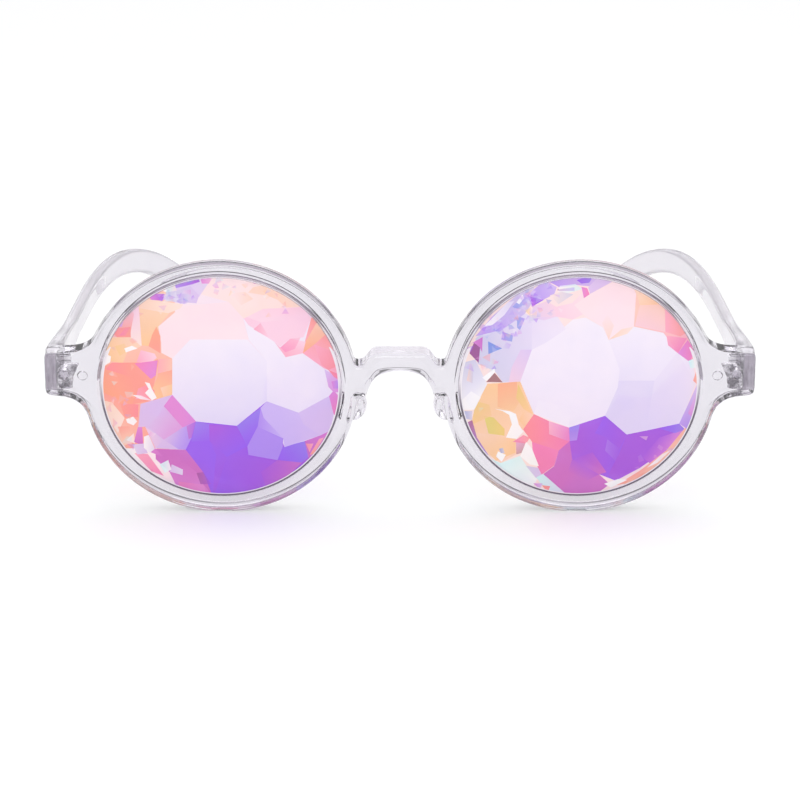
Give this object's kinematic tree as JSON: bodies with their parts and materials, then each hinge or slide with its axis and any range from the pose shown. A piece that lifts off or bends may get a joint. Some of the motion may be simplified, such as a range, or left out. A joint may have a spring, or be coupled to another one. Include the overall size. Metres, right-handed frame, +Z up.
{
  "type": "kaleidoscope glasses",
  "caption": "Round clear-framed glasses with faceted iridescent crystal lenses, a keyhole bridge with nose pads, and two arms with ear hooks that fold on metal hinges.",
  "frame": {"origin": "on the table under the middle of the glasses' box: z = 0 is the surface that both rims and both arm tips rest on", "axes": "+X across the face towards the right arm as seen from the front, +Y from the front back along the arms, +Z up"},
  "size_m": [0.1464, 0.1372, 0.0557],
  "materials": {
    "clear_plastic": "clear, tumbled to a high gloss, with a faint lavender-grey cast",
    "coated_crystal": "polished facets with an iridescent coating, from pale lavender through coral, magenta and violet",
    "hinge_metal": "nickel silver, satin",
    "screw_steel": "polished steel"
  },
  "bodies": {
    "front": {"front_frame": "clear_plastic", "nose_pad_left": "clear_plastic", "nose_pad_right": "clear_plastic", "lens_left": "coated_crystal", "lens_right": "coated_crystal", "front_hinge_left": "hinge_metal", "front_hinge_right": "hinge_metal", "hinge_screw_left": "screw_steel", "hinge_screw_right": "screw_steel"},
    "arm_left": {"temple_left": "clear_plastic", "temple_hinge_left": "hinge_metal"},
    "arm_right": {"temple_right": "clear_plastic", "temple_hinge_right": "hinge_metal"}
  },
  "joints": [
    {"name": "left_arm_fold", "type": "hinge", "parent": "front", "child": "arm_left", "pos_m": [-0.069, -0.05834, 0.02965], "axis": [0, 0, -1], "range_deg": [0, 74]},
    {"name": "right_arm_fold", "type": "hinge", "parent": "front", "child": "arm_right", "pos_m": [0.069, -0.05834, 0.02965], "axis": [0, 0, 1], "range_deg": [0, 60]}
  ]
}
